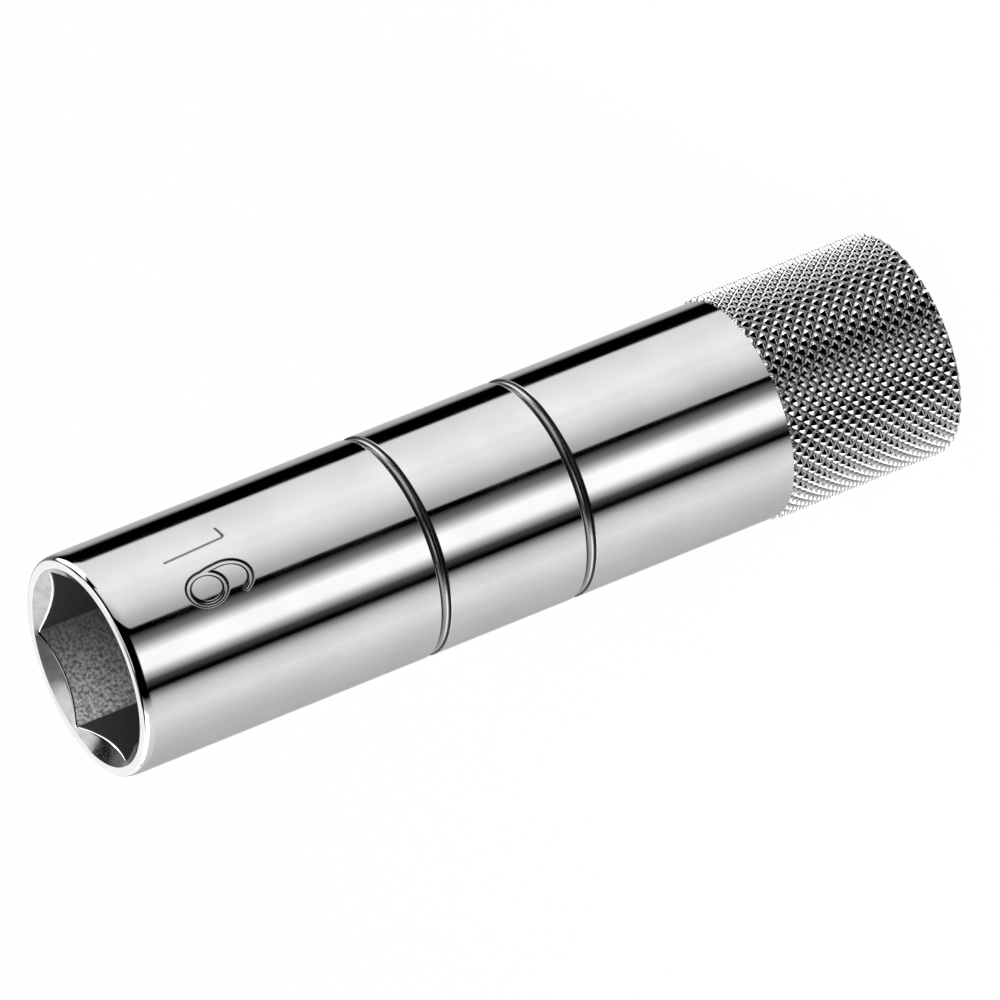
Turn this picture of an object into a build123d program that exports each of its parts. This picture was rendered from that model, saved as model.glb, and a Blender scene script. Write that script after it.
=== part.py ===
from build123d import *
from math import cos, pi, radians, sin, tan
import os

# Deep spark plug socket, in millimetres. It stands on its drive end, with the
# origin at the centre of the drive face and +Z along the axis to the hex mouth.

# Barrel
overall_length = 88.0
body_diameter = 21.4
mouth_edge_radius = 0.5

# Diamond knurl of the grip at the drive end: two families of grooves that cross
knurl_diameter = 22.0
knurl_length = 18.5
knurl_depth = 0.4
knurl_grooves = 49
knurl_pitch = 1.33
knurl_turn = -4.1
knurl_face_margin = 0.335
knurl_face_relief = 0.1
knurl_shoulder_margin = 0.2
knurl_shoulder_step = 0.05

# Round-bottomed grooves either side of the middle band
first_groove_from_mouth = 31.9
second_groove_from_mouth = 47.5
groove_width = 0.8
groove_depth = 0.3
groove_edge_radius = 0.2

# Hexagonal recess for the plug, with a flat facing +X, and its lead-in cone
hex_across_flats = 16.1
hex_depth = 14.0
lead_in_diameter = 19.2
lead_in_angle = 110.0

# Round bore behind the hexagon, and the web that closes it to the drive end
bore_diameter = 15.6
web_hole_diameter = 9.0
web_thickness = 3.2
drill_point_angle = 118.0

# Square drive recess with a hollow in each wall for the driver's ball
drive_square_nominal = 9.525
drive_square_clearance = 0.075
drive_square_depth = 11.0
drive_square_corner_radius = 0.4
drive_square_chamfer = 0.6
detent_from_face = 5.6
detent_diameter = 4.0
detent_depth = 0.7
detent_wall_angle = 50.0

# Rubber insert that grips the plug's insulator, with a rib that locks it
insert_length = 14.0
insert_below_hex = 1.0
insert_hole_diameter = 10.2
insert_lead_in = 1.5
insert_edge_chamfer = 0.5
insert_clearance = 0.05
rib_width = 2.4
rib_height = 0.7
rib_clearance = 0.1
rib_below_insert_top = 5.0

# Radii and levels that follow from the sizes above
body_radius = body_diameter / 2
bore_radius = bore_diameter / 2
knurl_top_radius = knurl_diameter / 2
knurl_root_radius = knurl_top_radius - knurl_depth
knurl_band = knurl_length - knurl_face_margin - knurl_shoulder_margin
knurl_rows = round(knurl_band / (knurl_pitch / 2))
knurl_row_step = knurl_band / knurl_rows
knurl_columns = 2 * knurl_grooves
lead_in_radius = lead_in_diameter / 2
web_hole_radius = web_hole_diameter / 2
drive_square = drive_square_nominal + drive_square_clearance
hex_floor_level = overall_length - hex_depth
web_top_level = drive_square_depth + web_thickness
insert_top_level = hex_floor_level - insert_below_hex
insert_bottom_level = insert_top_level - insert_length
rib_top_level = insert_top_level - rib_below_insert_top
rib_middle_level = rib_top_level - rib_width / 2


def cone_height(wide_radius, narrow_radius, full_angle):
    """Height of a cone between two radii."""
    return (wide_radius - narrow_radius) / tan(radians(full_angle / 2))


def ring_point(column, level, radius):
    """Point of the knurl's grid, which has two columns to each groove around the axis."""
    angle = radians(knurl_turn) + pi * column / knurl_grooves
    return (radius * cos(angle), radius * sin(angle), level)


def knurl_point(column, row):
    """Pyramid top or groove crossing: the two take turns along rows and columns."""
    radius = knurl_top_radius if (column + row) % 2 == 0 else knurl_root_radius
    return ring_point(column, knurl_face_margin + row * knurl_row_step, radius)


def facet(*corners):
    """Flat face between its corners."""
    return Face(Wire.make_polygon(corners, close=True))


def pyramid(column, row):
    """Four flanks of one diamond of the knurl."""
    top = knurl_point(column, row)
    foot = [
        knurl_point(column + 1, row),
        knurl_point(column, row + 1),
        knurl_point(column - 1, row),
        knurl_point(column, row - 1),
    ]
    return [facet(top, foot[corner - 1], foot[corner]) for corner in range(4)]


def run_out(edge_row, inner_row, level, radius):
    """Facets from the zigzag edge of the diamonds to a flat end face of that radius."""
    facets = []
    for column in range(knurl_columns):
        ends_here = (column + edge_row) % 2 == 1
        at_edge, at_inner = (column, column + 1) if ends_here else (column + 1, column)
        edge_point = knurl_point(at_edge, edge_row)
        inner_point = knurl_point(at_inner, inner_row)
        edge_foot = ring_point(at_edge, level, radius)
        inner_foot = ring_point(at_inner, level, radius)
        facets.append(facet(edge_point, edge_foot, inner_foot))
        facets.append(facet(edge_point, inner_foot, inner_point))
    facets.append(facet(*[ring_point(column, level, radius) for column in range(knurl_columns)]))
    return facets


# Knurled grip, closed by a flat face at each end
knurl_facets = run_out(0, 1, 0, knurl_root_radius - knurl_face_relief)
for row in range(1, knurl_rows):
    for column in range(row % 2, knurl_columns, 2):
        knurl_facets += pyramid(column, row)
knurl_facets += run_out(knurl_rows, knurl_rows - 1, knurl_length, body_radius - knurl_shoulder_step)
knurled_grip = Solid(Shell(knurl_facets))


with BuildPart() as recesses:
    # Web hole, drill point, bore and lead-in cone, in one profile
    drill_point_level = web_top_level + cone_height(bore_radius, web_hole_radius, drill_point_angle)
    lead_in_level = overall_length - cone_height(lead_in_radius, bore_radius, lead_in_angle)
    with BuildSketch(Plane.XZ):
        with BuildLine():
            Polyline(
                (0, 0),
                (web_hole_radius, 0),
                (web_hole_radius, web_top_level),
                (bore_radius, drill_point_level),
                (bore_radius, lead_in_level),
                (lead_in_radius, overall_length),
                (0, overall_length),
                close=True,
            )
        make_face()
    revolve(axis=Axis.Z)

    # Ring groove in the bore for the insert's rib
    rib_groove_radius = bore_radius + rib_height + rib_clearance
    with BuildSketch(Plane.XY.offset(rib_middle_level)):
        Circle(rib_groove_radius)
    extrude(amount=rib_width / 2 + rib_clearance, both=True)

    # Hexagon
    with BuildSketch(Plane.XY.offset(hex_floor_level)):
        RegularPolygon(hex_across_flats / 2, 6, major_radius=False, rotation=30)
    extrude(amount=hex_depth)

    # Drive square, which flares out to a chamfer at the face
    with BuildSketch():
        RectangleRounded(drive_square, drive_square, drive_square_corner_radius)
    extrude(amount=drive_square_depth)
    with BuildSketch():
        flared_square = drive_square + 2 * drive_square_chamfer
        flared_corner_radius = drive_square_corner_radius + drive_square_chamfer
        RectangleRounded(flared_square, flared_square, flared_corner_radius)
    extrude(amount=drive_square_chamfer, taper=45)

    # Hollows for the driver's ball in the four walls of the square
    drive_walls = [
        Plane(
            origin=(drive_square / 2 * x_way, drive_square / 2 * y_way, detent_from_face),
            z_dir=(x_way, y_way, 0),
        )
        for x_way, y_way in ((1, 0), (0, 1), (-1, 0), (0, -1))
    ]
    with BuildSketch(*drive_walls):
        Circle(detent_diameter / 2)
    extrude(amount=detent_depth, taper=detent_wall_angle)


with BuildPart() as socket_body:
    add(knurled_grip)

    # Polished barrel, with its mouth edge and the lips of its turned grooves rounded
    groove_arc_radius = (groove_width**2 / 4 + groove_depth**2) / (2 * groove_depth)
    groove_centre_radius = body_radius - groove_depth + groove_arc_radius
    groove_centres = [
        (groove_centre_radius, overall_length - from_mouth)
        for from_mouth in (first_groove_from_mouth, second_groove_from_mouth)
    ]
    with BuildSketch(Plane.XZ) as barrel_profile:
        with Locations((0, knurl_length)):
            Rectangle(body_radius, overall_length - knurl_length, align=Align.MIN)
        mouth_corner = barrel_profile.vertices().group_by(Axis.Y)[-1].sort_by(Axis.X)[-1]
        fillet(mouth_corner, mouth_edge_radius)
        with Locations(*groove_centres):
            Circle(groove_arc_radius, mode=Mode.SUBTRACT)
        fillet(barrel_profile.vertices(Select.LAST), groove_edge_radius)
    revolve(axis=Axis.Z)

    add(recesses.part, mode=Mode.SUBTRACT)

socket_body.part.label = "socket_body"


with BuildPart() as retaining_insert:
    # Sleeve and rib, in one profile
    insert_radius = bore_radius - insert_clearance
    rib_radius = bore_radius + rib_height
    hole_radius = insert_hole_diameter / 2
    with BuildSketch(Plane.XZ):
        with BuildLine():
            Polyline(
                (hole_radius, insert_bottom_level),
                (insert_radius, insert_bottom_level),
                (insert_radius, rib_top_level - rib_width),
                (rib_radius, rib_top_level - rib_width),
                (rib_radius, rib_top_level),
                (insert_radius, rib_top_level),
                (insert_radius, insert_top_level),
                (hole_radius, insert_top_level),
                close=True,
            )
        make_face()
    revolve(axis=Axis.Z)

    # Lead-in for the insulator at the top, and eased edges elsewhere
    top_edges = retaining_insert.edges().group_by(Axis.Z)[-1].sort_by(SortBy.RADIUS)
    bottom_edges = retaining_insert.edges().group_by(Axis.Z)[0]
    chamfer(top_edges[0], insert_lead_in)
    chamfer(top_edges[-1], insert_edge_chamfer)
    chamfer(bottom_edges, insert_edge_chamfer)

retaining_insert.part.label = "retaining_insert"


os.makedirs("parts", exist_ok=True)
export_step(socket_body.part, "parts/socket_body.step")
export_step(retaining_insert.part, "parts/retaining_insert.step")
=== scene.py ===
from collections import namedtuple
from math import atan2, cos, pi, radians, sin, tan

import bpy
import numpy as np
from mathutils import Matrix, Vector


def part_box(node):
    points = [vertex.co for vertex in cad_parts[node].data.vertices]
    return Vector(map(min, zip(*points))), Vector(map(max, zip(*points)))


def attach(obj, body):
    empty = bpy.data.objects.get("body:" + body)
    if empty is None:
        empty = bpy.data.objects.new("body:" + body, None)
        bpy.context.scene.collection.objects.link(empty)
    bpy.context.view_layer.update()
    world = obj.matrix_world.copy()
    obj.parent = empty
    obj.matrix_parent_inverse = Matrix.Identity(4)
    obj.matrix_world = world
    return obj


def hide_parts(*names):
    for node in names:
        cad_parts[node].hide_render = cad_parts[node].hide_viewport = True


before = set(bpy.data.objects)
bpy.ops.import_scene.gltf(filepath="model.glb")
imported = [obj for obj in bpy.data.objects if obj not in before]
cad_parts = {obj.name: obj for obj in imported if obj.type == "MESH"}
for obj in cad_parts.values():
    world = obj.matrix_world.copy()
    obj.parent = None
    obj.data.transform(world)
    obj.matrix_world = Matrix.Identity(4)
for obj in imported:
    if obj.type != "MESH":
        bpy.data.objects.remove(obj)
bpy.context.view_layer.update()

# Sizes are in millimetres on the object, and become metres where a mesh is made. The socket
# stands on its drive end, and z runs from there to the mouth.
MM = 0.001
body_low, body_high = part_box("socket_body")
LENGTH = (body_high.z - body_low.z) / MM
KNURL_RADIUS = (body_high.x - body_low.x) / 2 / MM

# Barrel, with an edge at the mouth that the polishing has drawn out along it
BODY_RADIUS = 10.7
SHOULDER_LEVEL = 18.5
SHOULDER_RADIUS = 10.65
MOUTH_EDGE_RADIUS = 0.5
MOUTH_EDGE_LENGTH = 1.25
MOUTH_EDGE_SOFTNESS = 0.8
BARREL_SHARP_ANGLE = 32

# Turned grooves: the zone is the half length of the stretch where the mesh has close rows
GROOVE_LEVELS = (LENGTH - 47.5, LENGTH - 31.9)
GROOVE_DEPTH = 0.3
GROOVE_HALF_WIDTH = 0.5
GROOVE_LIP = 0.2
GROOVE_ZONE = 1.0
GROOVE_ROWS = 43
# Grime and painted shade on the grooves' walls between these slopes and on their floors between
# these depths
GROOVE_WALL_SLOPES = (0.3, 0.8)
GROOVE_FLOOR_DEPTHS = (0.05, 0.2)
GROOVE_FLOOR_GRIME_AND_SHADE = 0.5

# Lead-in cone: its edge at the rim is given as steps outwards and down, the rows on it as
# shares of its width, and the lens-shaped edge at the hexagon as steps in LENS_EDGE
LEAD_IN_RADIUS = 9.6
LEAD_IN_ANGLE = 110.0
RIM_EDGE_STEPS = ((0.20, 0.0), (0.10, 0.004), (0.04, 0.02), (0.0, 0.05))
LEAD_IN_SHARES = (0.1, 0.35, 0.65, 0.9)
LENS_EDGE = 0.12
LENS_EDGE_STEPS = ((1.0, 0.0), (0.45, 0.5), (0.12, 1.1), (0.0, 1.9))

# Inside, from the hexagon to the drive square and the face around it
HEX_FLAT = 8.05
HEX_CORNER_RADIUS = 0.35
HEX_FLOOR_LEVEL = LENGTH - 14.0
BORE_RADIUS = 7.8
BELOW_INSERT_LEVEL = 58
RIB_GROOVE_RADIUS = 8.6
RIB_GROOVE_LEVELS = (65.5, 68.1)
WEB_HOLE_RADIUS = 4.5
WEB_TOP_LEVEL = 14.2
DRILL_POINT_LEVEL = 16.18
SQUARE_HALF = 4.8
SQUARE_CORNER_RADIUS = 0.4
SQUARE_DEPTH = 11.0
SQUARE_CHAMFER = 0.6
DETENT_LEVEL = 5.6
DETENT_RADIUS = 2.0
DETENT_DEPTH = 0.7
DETENT_WALL_ANGLE = 50.0
FACE_RADIUS = 10.5
RECESS_SHARP_ANGLE = 28

# Painted shade in the recess: it deepens between these depths, and leaves these shares clear of
# the wall that faces the camera, at the wall's high side and at its low side in the picture
RECESS_SHADE_DEPTHS = (1.0, 9.0)
CLEAR_AT_MOUTH = (0.15, 1.0)
CLEAR_DEEP_DOWN = (0.05, 0.35)

# Knurl: two families of grooves that cross, so the diamonds' middles and the crossings
# of the grooves take turns on a grid of columns and rows
KNURL_DEPTH = 0.43
KNURL_GROOVES = 49
KNURL_TURN = -4.1
KNURL_FIRST_ROW = 0.335
KNURL_ROW_STEP = 0.6654
KNURL_FLOOR = 0.06
KNURL_FLOOR_SOFT = 0.10
KNURL_TIP = 0.04
KNURL_CORNER = 9.0
# Painted shade in the knurl's grooves fades out between these heights of the diamonds
KNURL_SHADE_HEIGHTS = (0.06, 0.20)
KNURL_MESH_STEPS = 6
KNURL_FACE_EDGE_RADIUS = 0.5
KNURL_SHOULDER_SLOPE = 1.4
KNURL_SHARP_ANGLE = 60

# Size mark: the stretch from the mouth that it takes, and the azimuths in degrees between
# which the barrel's mesh is fine enough for it
MARK_ALONG = (6.8, 15.0)
MARK_ROWS = 118
MARK_AZIMUTHS = (-1, 51)


def smooth_step(x, start, end):
    """0 at start, 1 at end, with a soft turn at both."""
    t = np.clip((x - start) / (end - start), 0, 1)
    return t * t * (3 - 2 * t)


def smooth_min(a, b, blend):
    """The smaller of two values, rounded off over blend where they meet."""
    h = np.clip(0.5 + 0.5 * (b - a) / blend, 0, 1)
    return b * (1 - h) + a * h - blend * h * (1 - h)


def grid_piece(name, points, **values):
    """Mesh closed around the axis from points in millimetres: points[row][column] = x, y, z.

    Each named value becomes an attribute of the mesh's points.
    """
    rows, columns = points.shape[:2]
    lower = np.arange(rows - 1)[:, None] * columns
    here = np.arange(columns)[None, :]
    after = (here + 1) % columns
    quads = np.stack(
        [lower + here, lower + after, lower + columns + after, lower + columns + here], axis=-1
    ).reshape(-1, 4)
    mesh = bpy.data.meshes.new(name)
    mesh.from_pydata((points.reshape(-1, 3) * MM).tolist(), [], quads.tolist())
    mesh.polygons.foreach_set("use_smooth", [True] * len(mesh.polygons))
    for label, value in values.items():
        attribute = mesh.attributes.new(label, "FLOAT", "POINT")
        attribute.data.foreach_set("value", value.reshape(-1).astype(np.float32))
    piece = bpy.data.objects.new(name, mesh)
    bpy.context.scene.collection.objects.link(piece)
    return piece


def around(radii, angles, levels):
    """Points at those radii, angles (radians) and levels, all rows by columns."""
    return np.stack(
        [radii * np.cos(angles), radii * np.sin(angles), levels + 0 * radii], axis=-1
    )


def ring(radius, level, angles):
    """One row of points at a level, at a radius that may follow the angles."""
    return around(radius + 0 * angles, angles, np.array([[level]]))


def polygon_radius(angles, sides, flat, corner_radius):
    """Distance from the axis to the wall of a regular polygon with rounded corners."""
    half = pi / sides
    away = (angles + half) % (2 * half) - half
    from_corner = half - np.abs(away)
    centre = (flat - corner_radius) / cos(half)
    reach = centre * np.cos(from_corner)
    to_arc = np.sqrt(np.maximum(corner_radius**2 - (centre * np.sin(from_corner)) ** 2, 0))
    tangent = atan2((flat - corner_radius) * tan(half), flat)
    return np.where(np.abs(away) > tangent, reach + to_arc, flat / np.cos(away))


# Size mark

def segment_distance(x, y, start, end):
    """Distance from points to a straight stroke."""
    dx, dy = end[0] - start[0], end[1] - start[1]
    t = np.clip(((x - start[0]) * dx + (y - start[1]) * dy) / (dx * dx + dy * dy), 0, 1)
    return np.hypot(x - start[0] - t * dx, y - start[1] - t * dy)


def oval_points(centre, across, along, start, end, count):
    """Points on an oval arc, angles in degrees."""
    turns = np.radians(np.linspace(start, end, count))
    return [(centre[0] + across * cos(t), centre[1] + along * sin(t)) for t in turns]


def digits():
    """The two digits of the mark: strokes, section, and grime with painted shade on floor and
    walls.

    Points are counted around the skin from the side that faces the camera, and along it
    from the mouth, so the digits' tops are away from the mouth. The one is stamped lighter.
    """
    stem = [(-6.54, 7.45), (-6.87, 13.6), (-7.0, 13.85), (-7.5, 13.8), (-8.2, 13.7)]
    bowl = oval_points((-2.62, 9.7), 1.5, 1.82, 0, 360, 40)
    tail = oval_points((-2.75, 11.95), 1.66, 2.25, 35, 185, 24) + [(-4.3, 10.6), (-4.1, 9.7)]
    one = {
        "strokes": [stem], "depth": 0.045, "half_width": 0.09, "wall": 0.12,
        "grime": (0.7, 0.2),
    }
    six = {
        "strokes": [bowl, tail], "depth": 0.12, "half_width": 0.23, "wall": 0.22,
        "grime": (0.05, 1.3),
    }
    return one, six


def size_mark(angles, levels):
    """Depth, and grime with painted shade, of the stamped size mark at points of the barrel's skin.
    """
    across = -BODY_RADIUS * angles
    along = LENGTH - levels
    depth = np.zeros(across.shape)
    grime = np.zeros(across.shape)
    for digit in digits():
        nearest = np.full(across.shape, np.inf)
        for stroke in digit["strokes"]:
            for start, end in zip(stroke[:-1], stroke[1:]):
                nearest = np.minimum(nearest, segment_distance(across, along, start, end))
        outer = digit["half_width"] + digit["wall"] / 2
        fall = smooth_step(nearest, outer - digit["wall"], outer)
        on_floor, on_wall = digit["grime"]
        depth = np.maximum(depth, digit["depth"] * (1 - fall))
        grime = np.maximum(grime, on_floor * (1 - fall) + on_wall * 2 * np.sqrt(fall * (1 - fall)))
    return depth, np.clip(grime, 0, 1)


# Polished barrel

def barrel_levels():
    """Levels of the rows along the barrel's straight skin: close at grooves and the mark."""
    rows = [SHOULDER_LEVEL]
    for groove in GROOVE_LEVELS:
        rows += list(np.linspace(groove - GROOVE_ZONE, groove + GROOVE_ZONE, GROOVE_ROWS))
    rows += list(np.linspace(LENGTH - MARK_ALONG[1], LENGTH - MARK_ALONG[0], MARK_ROWS))
    just_below_edge = LENGTH - MOUTH_EDGE_LENGTH - 0.05
    return np.array(sorted(rows + [just_below_edge]))


def groove_radius(levels):
    """Radius of the skin with its turned grooves, whose lips the polishing has rounded."""
    radius = np.full(levels.shape, BODY_RADIUS)
    arc_radius = (GROOVE_HALF_WIDTH**2 + GROOVE_DEPTH**2) / (2 * GROOVE_DEPTH)
    for groove in GROOVE_LEVELS:
        off = np.minimum(np.abs(levels - groove), arc_radius * 0.999)
        floor = BODY_RADIUS - GROOVE_DEPTH + arc_radius - np.sqrt(arc_radius**2 - off**2)
        # Past its arc the groove lies outside the skin
        floor = np.where(np.abs(levels - groove) > arc_radius * 0.99, BODY_RADIUS + 1, floor)
        radius = np.minimum(radius, smooth_min(radius, floor, GROOVE_LIP))
    return radius


def mouth_edge(angles):
    """Rows of the drawn-out edge at the mouth, from the barrel's skin to the flat rim."""
    rows = []
    for turn in np.radians(np.linspace(0, 90, 21)):
        inward = 1 - max(cos(turn), 0) ** MOUTH_EDGE_SOFTNESS
        down = 1 - max(sin(turn), 0) ** MOUTH_EDGE_SOFTNESS
        level = LENGTH - MOUTH_EDGE_LENGTH * down
        rows.append(ring(BODY_RADIUS - MOUTH_EDGE_RADIUS * inward, level, angles))
    return rows


def cone_drop(radius):
    """How far the lead-in cone lies below the mouth at a radius."""
    rim_drop = RIM_EDGE_STEPS[-1][1]
    return rim_drop + (LEAD_IN_RADIUS - radius) / tan(radians(LEAD_IN_ANGLE / 2))


def polished_barrel():
    """Barrel from its shoulder to the mouth, with the rim and the cone down to the hexagon."""
    fine = np.arange(*MARK_AZIMUTHS, 1 / 3)
    coarse = np.arange(MARK_AZIMUTHS[1], 360 + MARK_AZIMUTHS[0] - 1e-6, 1.5)
    angles = np.radians(np.concatenate([fine, coarse]))[None, :]

    levels = barrel_levels()
    straight = groove_radius(levels)
    skin_angle = (angles + pi) % (2 * pi) - pi
    skin_levels = levels[:, None] + 0 * angles
    depth, mark_grime = size_mark(skin_angle, skin_levels)
    parts = [ring(SHOULDER_RADIUS, SHOULDER_LEVEL, angles)]
    parts.append(around(straight[:, None] - depth, angles, skin_levels))

    parts += mouth_edge(angles)
    for out, drop in RIM_EDGE_STEPS:
        parts.append(ring(LEAD_IN_RADIUS + out, LENGTH - drop, angles))

    hexagon = polygon_radius(angles, 6, HEX_FLAT, HEX_CORNER_RADIUS)
    first_cone_face = sum(len(part) for part in parts) - 1
    for share in LEAD_IN_SHARES:
        radius = LEAD_IN_RADIUS + share * (hexagon + LENS_EDGE - LEAD_IN_RADIUS)
        parts.append(around(radius, angles, LENGTH - cone_drop(radius)))
    last_cone_face = sum(len(part) for part in parts) - 1
    for out, down in LENS_EDGE_STEPS:
        drop = cone_drop(hexagon + LENS_EDGE) + down * LENS_EDGE
        parts.append(around(hexagon + out * LENS_EDGE, angles, LENGTH - drop))

    points = np.concatenate(parts)
    # Grime and painted shade darken the grooves' steep walls and deep floors, and the size mark
    walls = smooth_step(np.abs(np.gradient(straight, levels)), *GROOVE_WALL_SLOPES)
    floors = GROOVE_FLOOR_GRIME_AND_SHADE * smooth_step(BODY_RADIUS - straight, *GROOVE_FLOOR_DEPTHS)
    grime = np.zeros(points.shape[:2])
    grime[1 : len(levels) + 1] = np.maximum(np.maximum(walls, floors)[:, None], mark_grime)
    piece = grid_piece("polished_barrel", points, grime=grime)
    row_of_face = np.repeat(np.arange(len(points) - 1), angles.size)
    on_cone = (row_of_face >= first_cone_face) & (row_of_face <= last_cone_face)
    piece.data.polygons.foreach_set("material_index", on_cone.astype(np.int32))
    piece.data.set_sharp_from_angle(angle=radians(BARREL_SHARP_ANGLE))
    return piece


# Recesses inside

def painted_recess_shade(points):
    """Painted shade of the recess: dark all over, but for the wall that faces the camera."""
    x, y, z = points[:, :, 0], points[:, :, 1], points[:, :, 2]
    on_wall = 1 - smooth_step(np.abs(x + HEX_FLAT), 0.02, 0.15)
    to_low_side = smooth_step(-y, -5.0, 5.0)
    at_mouth = np.interp(to_low_side, (0, 1), CLEAR_AT_MOUTH)
    deep_down = np.interp(to_low_side, (0, 1), CLEAR_DEEP_DOWN)
    clear = at_mouth + (deep_down - at_mouth) * smooth_step(LENGTH - z, *RECESS_SHADE_DEPTHS)
    return 1 - on_wall * clear


def hexagon_walls(angles):
    """Rows from the lens-shaped edge down to the hexagon's floor."""
    hexagon = polygon_radius(angles, 6, HEX_FLAT, HEX_CORNER_RADIUS)
    edge_drop = LENS_EDGE_STEPS[-1][1] * LENS_EDGE
    top = LENGTH - cone_drop(hexagon + LENS_EDGE) - edge_drop
    shares = np.concatenate([[0.0, 0.01], np.linspace(0.03, 0.99, 26), [1.0]])
    return [around(hexagon, angles, top + share * (HEX_FLOOR_LEVEL - top)) for share in shares]


def round_bores(angles):
    """Rows from the hexagon's floor through the bore and the web hole to the square."""
    rib_low, rib_high = RIB_GROOVE_LEVELS
    circles = [
        (BORE_RADIUS, HEX_FLOOR_LEVEL),
        (BORE_RADIUS, HEX_FLOOR_LEVEL - 0.1),
        (BORE_RADIUS, rib_high),
        (RIB_GROOVE_RADIUS, rib_high),
        (RIB_GROOVE_RADIUS, rib_low),
        (BORE_RADIUS, rib_low),
    ]
    bore_levels = np.linspace(BELOW_INSERT_LEVEL, DRILL_POINT_LEVEL, 20)
    circles += [(BORE_RADIUS, level) for level in bore_levels]
    circles += [(WEB_HOLE_RADIUS, WEB_TOP_LEVEL), (WEB_HOLE_RADIUS, SQUARE_DEPTH)]
    return [ring(radius, level, angles) for radius, level in circles]


def drive_square(angles):
    """Rows of the square with its ball hollows and chamfer, and of the face around it."""
    square = polygon_radius(angles, 4, SQUARE_HALF, SQUARE_CORNER_RADIUS)
    wall_angle = (angles + pi / 4) % (pi / 2) - pi / 4
    sideways = SQUARE_HALF * np.tan(wall_angle)
    hollow_slope = tan(radians(DETENT_WALL_ANGLE))
    wall_levels = np.linspace(SQUARE_DEPTH - 0.1, SQUARE_CHAMFER, 50)
    rows = []
    for level in np.concatenate([[SQUARE_DEPTH], wall_levels]):
        off_centre = np.hypot(sideways, level - DETENT_LEVEL)
        hollow = np.clip((DETENT_RADIUS - off_centre) / hollow_slope, 0, DETENT_DEPTH)
        rows.append(ring(square + hollow / np.cos(wall_angle), level, angles))
    flared = polygon_radius(
        angles, 4, SQUARE_HALF + SQUARE_CHAMFER, SQUARE_CORNER_RADIUS + SQUARE_CHAMFER
    )
    for share in (0.0, 0.02, 0.5, 0.98, 1.0):
        rows.append(ring(flared + share * (FACE_RADIUS - flared), 0.0, angles))
    return rows


def inner_recesses():
    """All that lies inside, from the hexagon to the face at the drive end."""
    angles = np.radians(np.arange(0, 360, 1.0))[None, :]
    rows = hexagon_walls(angles) + round_bores(angles) + drive_square(angles)
    points = np.concatenate(rows)
    # The recess's value is painted shade: its side walls and depths are darkened as if unlit
    piece = grid_piece("inner_recesses", points, grime=painted_recess_shade(points))
    piece.data.set_sharp_from_angle(angle=radians(RECESS_SHARP_ANGLE))
    return piece


# Knurled grip

def knurl_height(columns, rows):
    """1 on the tips of the diamonds, falling to the soft floor of the grooves."""
    across = np.abs((columns + rows + 1) % 2 - 1)
    along = np.abs((columns - rows + 1) % 2 - 1)
    from_tip = (across**KNURL_CORNER + along**KNURL_CORNER) ** (1 / KNURL_CORNER)
    fall = (np.hypot(from_tip, KNURL_TIP) - KNURL_TIP) / (np.hypot(1, KNURL_TIP) - KNURL_TIP)
    return -smooth_min(fall - 1, np.full(fall.shape, -KNURL_FLOOR), KNURL_FLOOR_SOFT)


def knurled_grip():
    """Grip from the drive end's face to the barrel's shoulder."""
    step = 1 / KNURL_MESH_STEPS
    columns = np.arange(0, 2 * KNURL_GROOVES, step)[None, :]
    last_row = (SHOULDER_LEVEL - KNURL_FIRST_ROW) / KNURL_ROW_STEP
    rows = np.arange(-0.5, last_row + step, step)[:, None]
    angles = radians(KNURL_TURN) + pi * columns / KNURL_GROOVES
    levels = np.clip(KNURL_FIRST_ROW + rows * KNURL_ROW_STEP, 0, SHOULDER_LEVEL)
    levels[0] = 0

    height = knurl_height(columns, rows)
    radii = KNURL_RADIUS - KNURL_DEPTH * (1 - height)
    to_edge = np.maximum(KNURL_FACE_EDGE_RADIUS - levels, 0)
    edge_reach = np.sqrt(KNURL_FACE_EDGE_RADIUS**2 - to_edge**2)
    face_edge = KNURL_RADIUS - KNURL_FACE_EDGE_RADIUS + edge_reach
    shoulder = SHOULDER_RADIUS + KNURL_SHOULDER_SLOPE * (SHOULDER_LEVEL - levels)
    radii = np.minimum(radii, np.minimum(face_edge, shoulder))
    # Painted shade, darkest in the grooves between the diamonds
    grime = 1 - smooth_step(height, *KNURL_SHADE_HEIGHTS)
    piece = grid_piece("knurled_grip", around(radii, angles, levels), grime=grime)
    piece.data.set_sharp_from_angle(angle=radians(KNURL_SHARP_ANGLE))
    return piece


# Materials

def new_material(name):
    material = bpy.data.materials.new(name)
    material.use_nodes = True
    return material, material.node_tree.nodes, material.node_tree.links


def mapped(nodes, links, source, low, high, from_low=0.35, from_high=0.65):
    """Maps a value, such as that of a noise, to a range."""
    node = nodes.new("ShaderNodeMapRange")
    node.inputs["From Min"].default_value = from_low
    node.inputs["From Max"].default_value = from_high
    node.inputs["To Min"].default_value = low
    node.inputs["To Max"].default_value = high
    links.new(source, node.inputs["Value"])
    return node.outputs["Result"]


def noise(nodes, links, scale, detail=2.0):
    """Noise by place on the object, with about that many spots to the metre."""
    place = nodes.new("ShaderNodeTexCoord")
    node = nodes.new("ShaderNodeTexNoise")
    node.inputs["Scale"].default_value = scale
    node.inputs["Detail"].default_value = detail
    links.new(place.outputs["Object"], node.inputs["Vector"])
    return node.outputs["Fac"]


def point_value(nodes, name):
    """Value that the mesh's points hold under that name."""
    node = nodes.new("ShaderNodeAttribute")
    node.attribute_name = name
    return node.outputs["Fac"]


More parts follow.
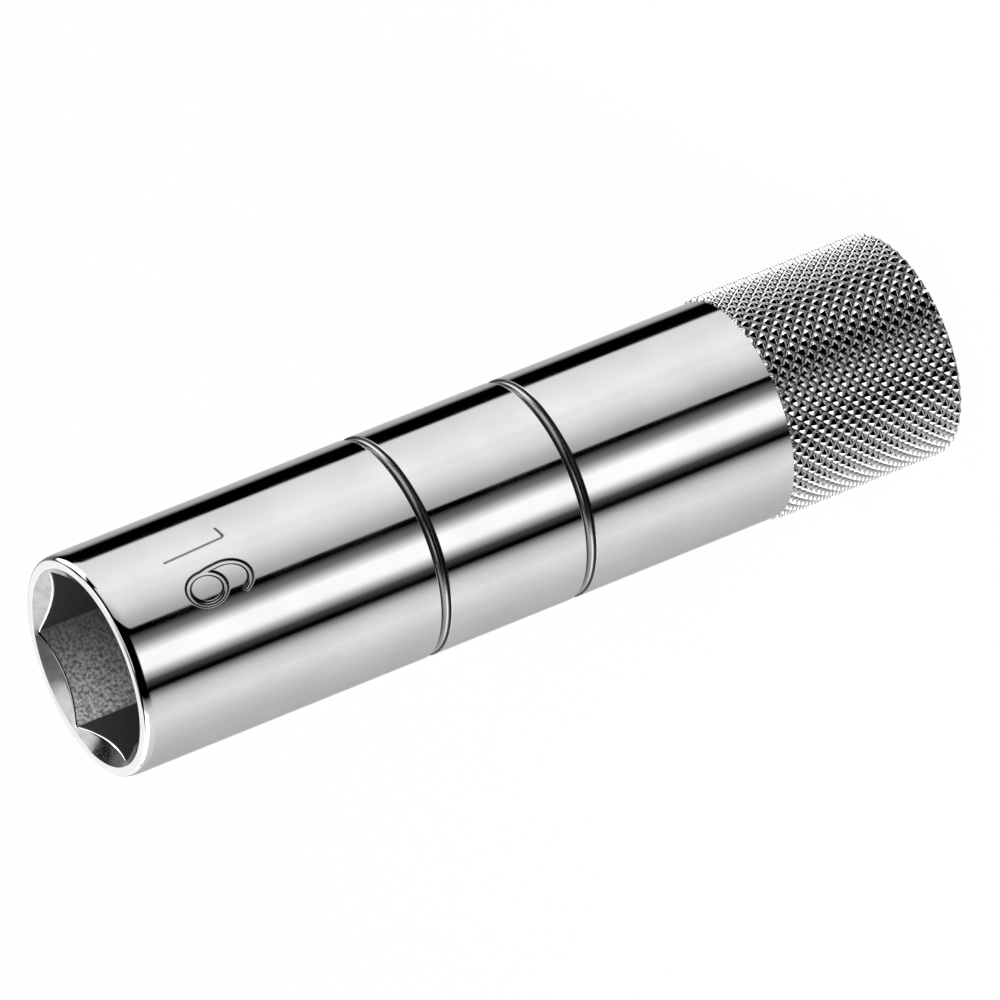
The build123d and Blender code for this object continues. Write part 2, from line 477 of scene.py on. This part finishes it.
def blended(nodes, links, factor, start, end, data_type="RGBA"):
    """Mix of two colours or two numbers, each a constant or another node's output."""
    mix = nodes.new("ShaderNodeMix")
    mix.data_type = data_type
    links.new(factor, mix.inputs["Factor"])
    sockets = [socket for socket in mix.inputs if socket.enabled and socket.name in "AB"]
    for socket, value in zip(sockets, (start, end)):
        if isinstance(value, bpy.types.NodeSocket):
            links.new(value, socket)
        else:
            socket.default_value = value
    return next(socket for socket in mix.outputs if socket.enabled)


def bumps(nodes, links, height, distance, shader):
    """Fine bumps of that height in metres."""
    bump = nodes.new("ShaderNodeBump")
    bump.inputs["Distance"].default_value = distance
    links.new(height, bump.inputs["Height"])
    links.new(bump.outputs["Normal"], shader.inputs["Normal"])


def grey(level):
    """Neutral colour with the slightest blue, as chrome has."""
    return (level, level, level * 1.012, 1.0)


def metal(name, look):
    """Metal with spots that vary its colour and roughness, and fine bumps."""
    material, nodes, links = new_material(name)
    shader = nodes["Principled BSDF"]
    shader.inputs["Metallic"].default_value = look.get("metallic", 1.0)
    spread = look.get("spread", 0.15)
    spots = noise(nodes, links, look["spots"], 3.0)
    spots = mapped(nodes, links, spots, 0, 1, 0.5 - spread, 0.5 + spread)
    colour = blended(nodes, links, spots, grey(look["dark"]), grey(look["light"]))
    roughness = mapped(nodes, links, spots, *look["roughness"], 0, 1)
    # Blends towards the look's dark colour where the points hold grime and painted shade
    if "grime" in look:
        grime = point_value(nodes, "grime")
        darkened_roughness = look["grime_roughness"]
        colour = blended(nodes, links, grime, colour, grey(look["grime"]))
        roughness = blended(nodes, links, grime, roughness, darkened_roughness, "FLOAT")
    links.new(colour, shader.inputs["Base Color"])
    links.new(roughness, shader.inputs["Roughness"])
    bumps(nodes, links, noise(nodes, links, look["bumps"]), look["bump_height"], shader)
    return material


def rubber():
    """Dull black rubber with a fine grain."""
    material, nodes, links = new_material("black_rubber")
    shader = nodes["Principled BSDF"]
    grain = noise(nodes, links, 3000, 3.0)
    links.new(blended(nodes, links, grain, grey(0.012), grey(0.03)), shader.inputs["Base Color"])
    links.new(mapped(nodes, links, grain, 0.55, 0.75), shader.inputs["Roughness"])
    bumps(nodes, links, grain, 0.00003, shader)
    return material


# A look's grime colour is where its grime and painted shade blend to
LOOKS = {
    "polished_chrome": {
        "dark": 0.80, "light": 0.86, "roughness": (0.05, 0.08),
        "grime": 0.02, "grime_roughness": 0.4,
        "spots": 180, "bumps": 90, "bump_height": 0.000002,
    },
    "knurl_chrome": {
        "dark": 0.66, "light": 0.74, "roughness": (0.02, 0.05),
        "grime": 0.12, "grime_roughness": 0.15,
        "spots": 900, "bumps": 500, "bump_height": 0.000002,
    },
    "lead_in_steel": {
        "dark": 0.40, "light": 0.52, "roughness": (0.14, 0.22),
        "spots": 1100, "bumps": 1300, "bump_height": 0.000006,
    },
    "forged_steel": {
        "dark": 0.25, "light": 0.95, "roughness": (0.30, 0.45),
        "grime": 0.05, "grime_roughness": 0.45, "metallic": 0.4, "spread": 0.13,
        "spots": 3000, "bumps": 2100, "bump_height": 0.00004,
    },
}
materials = {name: metal(name, look) for name, look in LOOKS.items()}

barrel = polished_barrel()
barrel.data.materials.append(materials["polished_chrome"])
barrel.data.materials.append(materials["lead_in_steel"])
recesses = inner_recesses()
recesses.data.materials.append(materials["forged_steel"])
grip = knurled_grip()
grip.data.materials.append(materials["knurl_chrome"])
for piece in (barrel, recesses, grip):
    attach(piece, "root")
    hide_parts("socket_body")
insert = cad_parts["retaining_insert"]
insert.data.materials.clear()
insert.data.materials.append(rubber())


# Camera: a long lens, rolled so that the standing socket lies across the picture. Its place
# follows from where the mouth's middle is in the picture, the scale and the distance there,
# the axis's slope in the picture, and the angle between the axis and the line of sight.
IMAGE_SIZE = 1000
MOUTH_PIXEL = (85.3, 668.06)
PIXELS_PER_MM = 11.026
MOUTH_DISTANCE = 1264.5
AXIS_SLOPE = 21.774
AXIS_TO_VIEW = 68.02


def add_camera():
    rise = radians(90 - AXIS_TO_VIEW)
    slope = radians(AXIS_SLOPE)
    toward = Vector((cos(rise), 0, sin(rise)))
    along = Vector((sin(rise), 0, -cos(rise)))
    across = Vector((0, 1, 0))
    right = cos(slope) * along - sin(slope) * across
    up = sin(slope) * along + cos(slope) * across
    mouth_right = (MOUTH_PIXEL[0] - IMAGE_SIZE / 2) / PIXELS_PER_MM
    mouth_up = (IMAGE_SIZE / 2 - MOUTH_PIXEL[1]) / PIXELS_PER_MM
    place = Vector((0, 0, LENGTH)) + MOUTH_DISTANCE * toward
    back = (MOUTH_DISTANCE * toward + mouth_right * right + mouth_up * up).normalized()
    up = back.cross(right).normalized()
    right = up.cross(back)
    data = bpy.data.cameras.new("camera")
    data.lens = data.sensor_width * PIXELS_PER_MM * MOUTH_DISTANCE / IMAGE_SIZE
    camera = bpy.data.objects.new("camera", data)
    turn = Matrix((right, up, back)).transposed().to_4x4()
    camera.matrix_world = Matrix.Translation(place * MM) @ turn
    bpy.context.scene.collection.objects.link(camera)
    bpy.context.scene.camera = camera


# Studio: light panels stand round, above and below the socket on a dome, which is black
# between them and which only its reflections show. Each panel has levels, where 1 is white,
# at azimuths that are counted from the camera's side, and edges at its lowest and highest
# elevation that fade over soft. A panel that leans has its azimuths at LEAN_ELEVATION, and
# they grow by lean for each degree above it. All angles are in degrees.
Panel = namedtuple("Panel", "levels low high soft lean", defaults=(0,))
DOME_RADIUS = 3000.0
LEAN_ELEVATION = -22
PANELS = {
    "left": Panel(
        ((46, 0), (54, 0.9), (66, 1.0), (80, 0.95), (104, 0.83), (112, 0.8), (115.5, 0)),
        low=-33, high=4, soft=5,
    ),
    "left_slant": Panel(
        ((19, 0), (19.5, 0.41), (28, 0.53), (40, 0.77), (56, 0.96), (57, 0)),
        low=-34, high=18, soft=6, lean=0.43,
    ),
    "back_low": Panel(
        (
            (140, 0), (149, 0.42), (180, 0.64), (200, 0.46), (240, 0.56), (262, 0.68),
            (284, 0.86), (298, 0.74), (305, 0.56), (310, 0.28), (315, 0),
        ),
        low=-72, high=-15, soft=6,
    ),
    "back_high": Panel(
        (
            (140, 0), (149, 0.2), (180, 0.3), (186, 0.6), (200, 0.48), (284, 0.86),
            (298, 0.72), (311, 0),
        ),
        low=-20, high=32, soft=6,
    ),
    "front": Panel(
        (
            (-42, 0), (-35, 0.07), (-29, 0.52), (-24, 1.05), (-21, 1.16), (-8, 1.16),
            (-4, 0.77), (0, 0.47), (4, 0.21), (8, 0.12), (13.5, 0),
        ),
        low=-33, high=-13, soft=4,
    ),
    "card": Panel(((195, 0), (198, 0.7), (259, 0.7), (262, 0)), low=-10, high=62, soft=5),
    "lens_card": Panel(((198, 0), (204, 1.25), (250, 1.25), (256, 0)), low=10, high=62, soft=5),
    "window": Panel(((156, 0), (160, 1.05), (197, 1.05), (201, 0)), low=8, high=60, soft=5),
    "low_window": Panel(((180, 0), (184, 1.1), (222, 1.1), (228, 0)), low=-7, high=30, soft=4),
    "overhead": Panel(((-28, 0), (-24, 1.0), (146, 1.0), (150, 0)), low=46, high=60, soft=5),
    "above_gap": Panel(((87, 0), (92, 2.5), (134, 2.5), (140, 0)), low=-4, high=27, soft=5),
    "below_gap": Panel(((118, 0), (124, 2.5), (160, 2.5), (166, 0)), low=-62, high=-33, soft=6),
    "right_above": Panel(((224, 0), (230, 2.2), (292, 2.2), (298, 0)), low=1, high=34, soft=6),
    "high_left": Panel(((58, 0), (64, 1.4), (146, 1.4), (152, 0)), low=46, high=90, soft=5),
    "low_front": Panel(((-46, 0), (-20, 0.2), (50, 0.2), (80, 0)), low=-53, high=-41, soft=8),
    "zenith": Panel(((0, 0.25), (360, 0.25)), low=66, high=100, soft=8),
    "nadir": Panel(((0, 0.4), (360, 0.4)), low=-100, high=-80, soft=6),
}


def panel_level(azimuth, elevation, panel):
    """Level of a panel in some directions, 0 where it isn't."""
    stops, levels = zip(*panel.levels)
    upright = azimuth - panel.lean * (elevation - LEAN_ELEVATION)
    from_first = (upright - stops[0]) % 360 + stops[0]
    along = np.interp(from_first, stops, levels, left=0, right=0)
    half = panel.soft / 2
    rise = smooth_step(elevation, panel.low - half, panel.low + half)
    fall = 1 - smooth_step(elevation, panel.high - half, panel.high + half)
    return along * rise * fall


def new_emission(nodes, links, strength):
    """Emission shader whose strength comes from a node's output."""
    glow = nodes.new("ShaderNodeEmission")
    links.new(strength, glow.inputs["Strength"])
    return glow.outputs["Emission"]


def add_dome():
    """Dome that glows by the brightest panel in each direction."""
    azimuths = np.arange(0, 360, 0.75)[None, :]
    elevations = np.arange(-89.5, 89.6, 1.0)[:, None]
    levels = np.max([panel_level(azimuths, elevations, panel) for panel in PANELS.values()], axis=0)
    turns, rises = np.radians(azimuths), np.radians(elevations)
    radii = DOME_RADIUS * np.cos(rises) + 0 * turns
    heights = LENGTH / 2 + DOME_RADIUS * np.sin(rises) + 0 * turns
    dome = grid_piece("studio_dome", around(radii, turns, heights), level=levels)
    material, nodes, links = new_material("panels")
    nodes.remove(nodes["Principled BSDF"])
    glow = new_emission(nodes, links, point_value(nodes, "level"))
    links.new(glow, nodes["Material Output"].inputs["Surface"])
    dome.data.materials.append(material)
    for ray in ("camera", "diffuse", "shadow", "volume_scatter", "transmission"):
        setattr(dome, "visible_" + ray, False)


def seen_directly(nodes, links):
    """1 for rays that show a background, from the camera, in gloss or through glass."""
    path = nodes.new("ShaderNodeLightPath")
    seen = path.outputs["Is Camera Ray"]
    for ray in ("Is Glossy Ray", "Is Transmission Ray"):
        either = nodes.new("ShaderNodeMath")
        either.operation = "MAXIMUM"
        links.new(seen, either.inputs[0])
        links.new(path.outputs[ray], either.inputs[1])
        seen = either.outputs[0]
    return seen


# Floor, world and lamp, in metres: the floor is nearly all its own white, so it keeps only
# a trace of the object's shadow
FLOOR_SIZE = 6
FLOOR_WHITE = 0.95
WORLD_LIGHT = 0.6
LAMP_TARGET = (0, 0, 0.05)


def add_floor():
    bpy.ops.mesh.primitive_plane_add(size=FLOOR_SIZE)
    floor = bpy.context.object
    floor.name = "floor"
    floor.visible_glossy = False
    material, nodes, links = new_material("white_floor")
    shader = nodes["Principled BSDF"]
    shader.inputs["Base Color"].default_value = (1, 1, 1, 1)
    shader.inputs["Roughness"].default_value = 0.9
    shader.inputs["Specular IOR Level"].default_value = 0.0
    mix = nodes.new("ShaderNodeMixShader")
    mix.inputs["Fac"].default_value = FLOOR_WHITE
    links.new(shader.outputs["BSDF"], mix.inputs[1])
    links.new(new_emission(nodes, links, seen_directly(nodes, links)), mix.inputs[2])
    links.new(mix.outputs["Shader"], nodes["Material Output"].inputs["Surface"])
    floor.data.materials.append(material)


def add_world():
    world = bpy.data.worlds.new("studio")
    bpy.context.scene.world = world
    world.use_nodes = True
    nodes, links = world.node_tree.nodes, world.node_tree.links
    background = nodes["Background"]
    background.inputs["Color"].default_value = (1, 1, 1, 1)
    strength = mapped(nodes, links, seen_directly(nodes, links), WORLD_LIGHT, 1.0, 0, 1)
    links.new(strength, background.inputs["Strength"])


def add_lamp(name, place, size, energy):
    data = bpy.data.lights.new(name, "AREA")
    data.size = size
    data.energy = energy
    lamp = bpy.data.objects.new(name, data)
    lamp.location = place
    from_target = Vector(place) - Vector(LAMP_TARGET)
    lamp.rotation_euler = from_target.to_track_quat("Z", "Y").to_euler()
    lamp.visible_glossy = False
    bpy.context.scene.collection.objects.link(lamp)


add_camera()
add_dome()
add_floor()
add_world()
add_lamp("front_lamp", place=(0.8, -0.15, 0.75), size=0.6, energy=9.0)

bpy.context.scene.view_settings.view_transform = "Standard"
